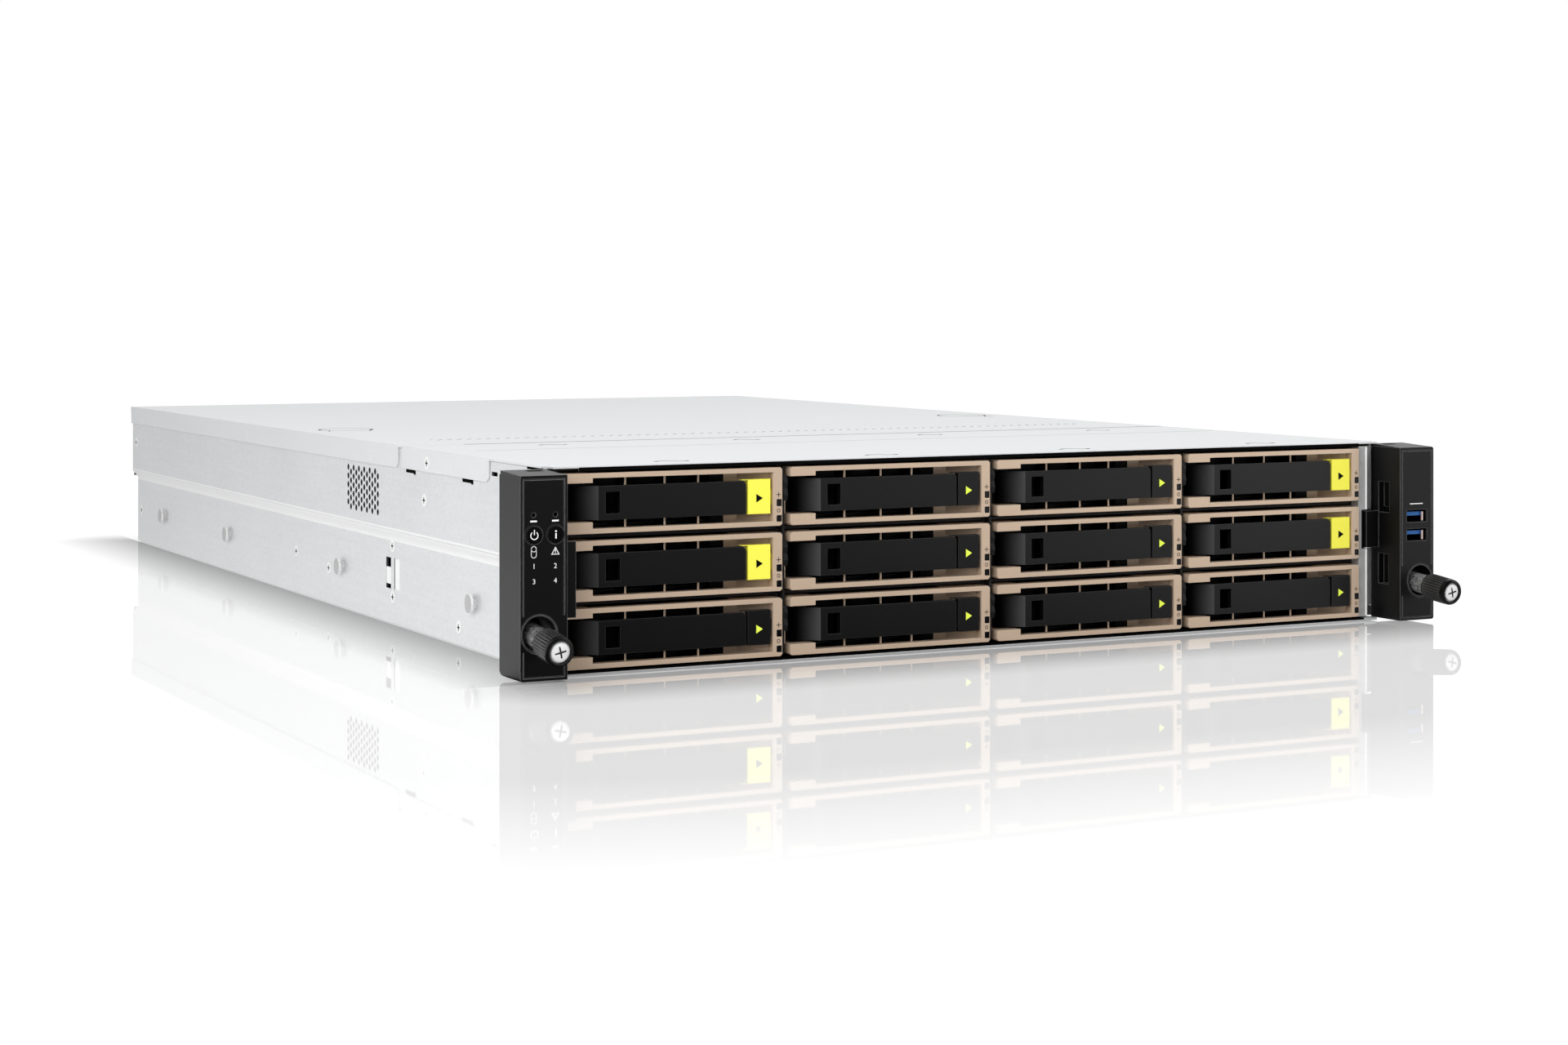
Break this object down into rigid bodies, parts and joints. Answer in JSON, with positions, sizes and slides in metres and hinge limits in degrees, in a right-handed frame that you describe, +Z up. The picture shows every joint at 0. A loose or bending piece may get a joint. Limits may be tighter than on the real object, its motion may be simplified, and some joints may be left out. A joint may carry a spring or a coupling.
{
  "type": "rack server",
  "caption": "Two-unit rack server with a galvanised steel chassis, black ears with captive thumbscrews, and hot-swap drive trays framed in champagne gold.",
  "frame": {"origin": "on the underside, midway between the ears, in the plane where the flanges meet the rack posts", "axes": "+X to the right seen from the front, +Y from the front to the rear, +Z up"},
  "size_m": [0.4826, 0.7846, 0.088],
  "materials": {
    "galvanised_steel": "satin",
    "tray_finish": "satin metallic",
    "black_plastic": "fine texture",
    "knob_black": "fluted",
    "latch_yellow": "smooth",
    "bright_steel": "satin",
    "circuit_board": "smooth",
    "fin_aluminium": "satin"
  },
  "bodies": {
    "chassis": {"chassis_base": "galvanised_steel", "front_cover": "galvanised_steel", "drive_cage": "galvanised_steel", "drive_backplane": "circuit_board", "left_ear": "black_plastic", "right_ear": "black_plastic", "usb_ports": "bright_steel", "fan_frames": "black_plastic", "mainboard": "circuit_board", "heat_sinks": "fin_aluminium"},
    "rear_cover": {"rear_cover": "galvanised_steel"},
    "tray_1_1": {"drive_tray_1_1": "tray_finish"},
    "lever_1_1": {"tray_lever_1_1": "black_plastic"},
    "latch_1_1": {"tray_latch_1_1": "latch_yellow"},
    "tray_1_2": {"drive_tray_1_2": "tray_finish"},
    "lever_1_2": {"tray_lever_1_2": "black_plastic"},
    "latch_1_2": {"tray_latch_1_2": "black_plastic"},
    "tray_1_3": {"drive_tray_1_3": "tray_finish"},
    "lever_1_3": {"tray_lever_1_3": "black_plastic"},
    "latch_1_3": {"tray_latch_1_3": "black_plastic"},
    "tray_1_4": {"drive_tray_1_4": "tray_finish"},
    "lever_1_4": {"tray_lever_1_4": "black_plastic"},
    "latch_1_4": {"tray_latch_1_4": "latch_yellow"},
    "tray_2_1": {"drive_tray_2_1": "tray_finish"},
    "lever_2_1": {"tray_lever_2_1": "black_plastic"},
    "latch_2_1": {"tray_latch_2_1": "latch_yellow"},
    "tray_2_2": {"drive_tray_2_2": "tray_finish"},
    "lever_2_2": {"tray_lever_2_2": "black_plastic"},
    "latch_2_2": {"tray_latch_2_2": "black_plastic"},
    "tray_2_3": {"drive_tray_2_3": "tray_finish"},
    "lever_2_3": {"tray_lever_2_3": "black_plastic"},
    "latch_2_3": {"tray_latch_2_3": "black_plastic"},
    "tray_2_4": {"drive_tray_2_4": "tray_finish"},
    "lever_2_4": {"tray_lever_2_4": "black_plastic"},
    "latch_2_4": {"tray_latch_2_4": "latch_yellow"},
    "tray_3_1": {"drive_tray_3_1": "tray_finish"},
    "lever_3_1": {"tray_lever_3_1": "black_plastic"},
    "latch_3_1": {"tray_latch_3_1": "black_plastic"},
    "tray_3_2": {"drive_tray_3_2": "tray_finish"},
    "lever_3_2": {"tray_lever_3_2": "black_plastic"},
    "latch_3_2": {"tray_latch_3_2": "black_plastic"},
    "tray_3_3": {"drive_tray_3_3": "tray_finish"},
    "lever_3_3": {"tray_lever_3_3": "black_plastic"},
    "latch_3_3": {"tray_latch_3_3": "black_plastic"},
    "tray_3_4": {"drive_tray_3_4": "tray_finish"},
    "lever_3_4": {"tray_lever_3_4": "black_plastic"},
    "latch_3_4": {"tray_latch_3_4": "black_plastic"},
    "power_button": {"power_button": "black_plastic"},
    "locator_button": {"locator_button": "black_plastic"},
    "left_sleeve": {"left_screw_sleeve": "bright_steel"},
    "left_knob": {"left_thumbscrew": "knob_black"},
    "right_sleeve": {"right_screw_sleeve": "bright_steel"},
    "right_knob": {"right_thumbscrew": "knob_black"},
    "fan_1": {"fan_rotor_1": "black_plastic"},
    "fan_2": {"fan_rotor_2": "black_plastic"},
    "fan_3": {"fan_rotor_3": "black_plastic"},
    "supply_1": {"power_supply_1": "galvanised_steel"},
    "supply_latch_1": {"supply_latch_1": "black_plastic"},
    "supply_2": {"power_supply_2": "galvanised_steel"},
    "supply_latch_2": {"supply_latch_2": "black_plastic"}
  },
  "joints": [
    {"name": "cover_slide", "type": "slide", "parent": "chassis", "child": "rear_cover", "axis": [0, 1, 0], "range_m": [0, 0.02]},
    {"name": "tray_slide_1_1", "type": "slide", "parent": "chassis", "child": "tray_1_1", "axis": [0, -1, 0], "range_m": [0, 0.18]},
    {"name": "lever_hinge_1_1", "type": "hinge", "parent": "tray_1_1", "child": "lever_1_1", "pos_m": [-0.2073, 0.0006, 0.07221], "axis": [0, 0, -1], "range_deg": [0, 70]},
    {"name": "latch_slide_1_1", "type": "slide", "parent": "tray_1_1", "child": "latch_1_1", "axis": [1, 0, 0], "range_m": [0, 0.001], "stiffness_N_per_m": 1500, "springref_m": -0.001},
    {"name": "tray_slide_1_2", "type": "slide", "parent": "chassis", "child": "tray_1_2", "axis": [0, -1, 0], "range_m": [0, 0.18]},
    {"name": "lever_hinge_1_2", "type": "hinge", "parent": "tray_1_2", "child": "lever_1_2", "pos_m": [-0.1007, 0.0006, 0.07221], "axis": [0, 0, -1], "range_deg": [0, 70]},
    {"name": "latch_slide_1_2", "type": "slide", "parent": "tray_1_2", "child": "latch_1_2", "axis": [1, 0, 0], "range_m": [0, 0.001], "stiffness_N_per_m": 1500, "springref_m": -0.001},
    {"name": "tray_slide_1_3", "type": "slide", "parent": "chassis", "child": "tray_1_3", "axis": [0, -1, 0], "range_m": [0, 0.18]},
    {"name": "lever_hinge_1_3", "type": "hinge", "parent": "tray_1_3", "child": "lever_1_3", "pos_m": [0.0059, 0.0006, 0.07221], "axis": [0, 0, -1], "range_deg": [0, 70]},
    {"name": "latch_slide_1_3", "type": "slide", "parent": "tray_1_3", "child": "latch_1_3", "axis": [1, 0, 0], "range_m": [0, 0.001], "stiffness_N_per_m": 1500, "springref_m": -0.001},
    {"name": "tray_slide_1_4", "type": "slide", "parent": "chassis", "child": "tray_1_4", "axis": [0, -1, 0], "range_m": [0, 0.18]},
    {"name": "lever_hinge_1_4", "type": "hinge", "parent": "tray_1_4", "child": "lever_1_4", "pos_m": [0.1125, 0.0006, 0.07221], "axis": [0, 0, -1], "range_deg": [0, 70]},
    {"name": "latch_slide_1_4", "type": "slide", "parent": "tray_1_4", "child": "latch_1_4", "axis": [1, 0, 0], "range_m": [0, 0.001], "stiffness_N_per_m": 1500, "springref_m": -0.001},
    {"name": "tray_slide_2_1", "type": "slide", "parent": "chassis", "child": "tray_2_1", "axis": [0, -1, 0], "range_m": [0, 0.18]},
    {"name": "lever_hinge_2_1", "type": "hinge", "parent": "tray_2_1", "child": "lever_2_1", "pos_m": [-0.2073, 0.0006, 0.04364], "axis": [0, 0, -1], "range_deg": [0, 70]},
    {"name": "latch_slide_2_1", "type": "slide", "parent": "tray_2_1", "child": "latch_2_1", "axis": [1, 0, 0], "range_m": [0, 0.001], "stiffness_N_per_m": 1500, "springref_m": -0.001},
    {"name": "tray_slide_2_2", "type": "slide", "parent": "chassis", "child": "tray_2_2", "axis": [0, -1, 0], "range_m": [0, 0.18]},
    {"name": "lever_hinge_2_2", "type": "hinge", "parent": "tray_2_2", "child": "lever_2_2", "pos_m": [-0.1007, 0.0006, 0.04364], "axis": [0, 0, -1], "range_deg": [0, 70]},
    {"name": "latch_slide_2_2", "type": "slide", "parent": "tray_2_2", "child": "latch_2_2", "axis": [1, 0, 0], "range_m": [0, 0.001], "stiffness_N_per_m": 1500, "springref_m": -0.001},
    {"name": "tray_slide_2_3", "type": "slide", "parent": "chassis", "child": "tray_2_3", "axis": [0, -1, 0], "range_m": [0, 0.18]},
    {"name": "lever_hinge_2_3", "type": "hinge", "parent": "tray_2_3", "child": "lever_2_3", "pos_m": [0.0059, 0.0006, 0.04364], "axis": [0, 0, -1], "range_deg": [0, 70]},
    {"name": "latch_slide_2_3", "type": "slide", "parent": "tray_2_3", "child": "latch_2_3", "axis": [1, 0, 0], "range_m": [0, 0.001], "stiffness_N_per_m": 1500, "springref_m": -0.001},
    {"name": "tray_slide_2_4", "type": "slide", "parent": "chassis", "child": "tray_2_4", "axis": [0, -1, 0], "range_m": [0, 0.18]},
    {"name": "lever_hinge_2_4", "type": "hinge", "parent": "tray_2_4", "child": "lever_2_4", "pos_m": [0.1125, 0.0006, 0.04364], "axis": [0, 0, -1], "range_deg": [0, 70]},
    {"name": "latch_slide_2_4", "type": "slide", "parent": "tray_2_4", "child": "latch_2_4", "axis": [1, 0, 0], "range_m": [0, 0.001], "stiffness_N_per_m": 1500, "springref_m": -0.001},
    {"name": "tray_slide_3_1", "type": "slide", "parent": "chassis", "child": "tray_3_1", "axis": [0, -1, 0], "range_m": [0, 0.18]},
    {"name": "lever_hinge_3_1", "type": "hinge", "parent": "tray_3_1", "child": "lever_3_1", "pos_m": [-0.2073, 0.0006, 0.01507], "axis": [0, 0, -1], "range_deg": [0, 70]},
    {"name": "latch_slide_3_1", "type": "slide", "parent": "tray_3_1", "child": "latch_3_1", "axis": [1, 0, 0], "range_m": [0, 0.001], "stiffness_N_per_m": 1500, "springref_m": -0.001},
    {"name": "tray_slide_3_2", "type": "slide", "parent": "chassis", "child": "tray_3_2", "axis": [0, -1, 0], "range_m": [0, 0.18]},
    {"name": "lever_hinge_3_2", "type": "hinge", "parent": "tray_3_2", "child": "lever_3_2", "pos_m": [-0.1007, 0.0006, 0.01507], "axis": [0, 0, -1], "range_deg": [0, 70]},
    {"name": "latch_slide_3_2", "type": "slide", "parent": "tray_3_2", "child": "latch_3_2", "axis": [1, 0, 0], "range_m": [0, 0.001], "stiffness_N_per_m": 1500, "springref_m": -0.001},
    {"name": "tray_slide_3_3", "type": "slide", "parent": "chassis", "child": "tray_3_3", "axis": [0, -1, 0], "range_m": [0, 0.18]},
    {"name": "lever_hinge_3_3", "type": "hinge", "parent": "tray_3_3", "child": "lever_3_3", "pos_m": [0.0059, 0.0006, 0.01507], "axis": [0, 0, -1], "range_deg": [0, 70]},
    {"name": "latch_slide_3_3", "type": "slide", "parent": "tray_3_3", "child": "latch_3_3", "axis": [1, 0, 0], "range_m": [0, 0.001], "stiffness_N_per_m": 1500, "springref_m": -0.001},
    {"name": "tray_slide_3_4", "type": "slide", "parent": "chassis", "child": "tray_3_4", "axis": [0, -1, 0], "range_m": [0, 0.18]},
    {"name": "lever_hinge_3_4", "type": "hinge", "parent": "tray_3_4", "child": "lever_3_4", "pos_m": [0.1125, 0.0006, 0.01507], "axis": [0, 0, -1], "range_deg": [0, 70]},
    {"name": "latch_slide_3_4", "type": "slide", "parent": "tray_3_4", "child": "latch_3_4", "axis": [1, 0, 0], "range_m": [0, 0.001], "stiffness_N_per_m": 1500, "springref_m": -0.001},
    {"name": "power_press", "type": "slide", "parent": "chassis", "child": "power_button", "axis": [0, 1, 0], "range_m": [0, 0.001], "stiffness_N_per_m": 1500, "springref_m": -0.001},
    {"name": "locator_press", "type": "slide", "parent": "chassis", "child": "locator_button", "axis": [0, 1, 0], "range_m": [0, 0.001], "stiffness_N_per_m": 1500, "springref_m": -0.001},
    {"name": "left_sleeve_slide", "type": "slide", "parent": "chassis", "child": "left_sleeve", "axis": [0, 0.9914, 0.1305], "range_m": [0, 0.0058], "stiffness_N_per_m": 300, "springref_m": -0.002},
    {"name": "left_knob_turn", "type": "hinge", "parent": "left_sleeve", "child": "left_knob", "pos_m": [-0.2329, -0.0095, 0.0204], "axis": [0, 0.9914, 0.1305], "continuous": true},
    {"name": "right_sleeve_slide", "type": "slide", "parent": "chassis", "child": "right_sleeve", "axis": [0, 0.9945, 0.1045], "range_m": [0, 0.0058], "stiffness_N_per_m": 300, "springref_m": -0.002},
    {"name": "right_knob_turn", "type": "hinge", "parent": "right_sleeve", "child": "right_knob", "pos_m": [0.2329, -0.0095, 0.0204], "axis": [0, 0.9945, 0.1045], "continuous": true},
    {"name": "fan_turn_1", "type": "hinge", "parent": "chassis", "child": "fan_1", "pos_m": [-0.146, 0.224, 0.042], "axis": [0, 1, 0], "continuous": true},
    {"name": "fan_turn_2", "type": "hinge", "parent": "chassis", "child": "fan_2", "pos_m": [-0.05, 0.224, 0.042], "axis": [0, 1, 0], "continuous": true},
    {"name": "fan_turn_3", "type": "hinge", "parent": "chassis", "child": "fan_3", "pos_m": [0.046, 0.224, 0.042], "axis": [0, 1, 0], "continuous": true},
    {"name": "supply_slide_1", "type": "slide", "parent": "chassis", "child": "supply_1", "axis": [0, 1, 0], "range_m": [0, 0.19]},
    {"name": "supply_latch_press_1", "type": "slide", "parent": "supply_1", "child": "supply_latch_1", "axis": [-1, 0, 0], "range_m": [0, 0.0025], "stiffness_N_per_m": 1500, "springref_m": -0.001},
    {"name": "supply_slide_2", "type": "slide", "parent": "chassis", "child": "supply_2", "axis": [0, 1, 0], "range_m": [0, 0.19]},
    {"name": "supply_latch_press_2", "type": "slide", "parent": "supply_2", "child": "supply_latch_2", "axis": [-1, 0, 0], "range_m": [0, 0.0025], "stiffness_N_per_m": 1500, "springref_m": -0.001}
  ]
}
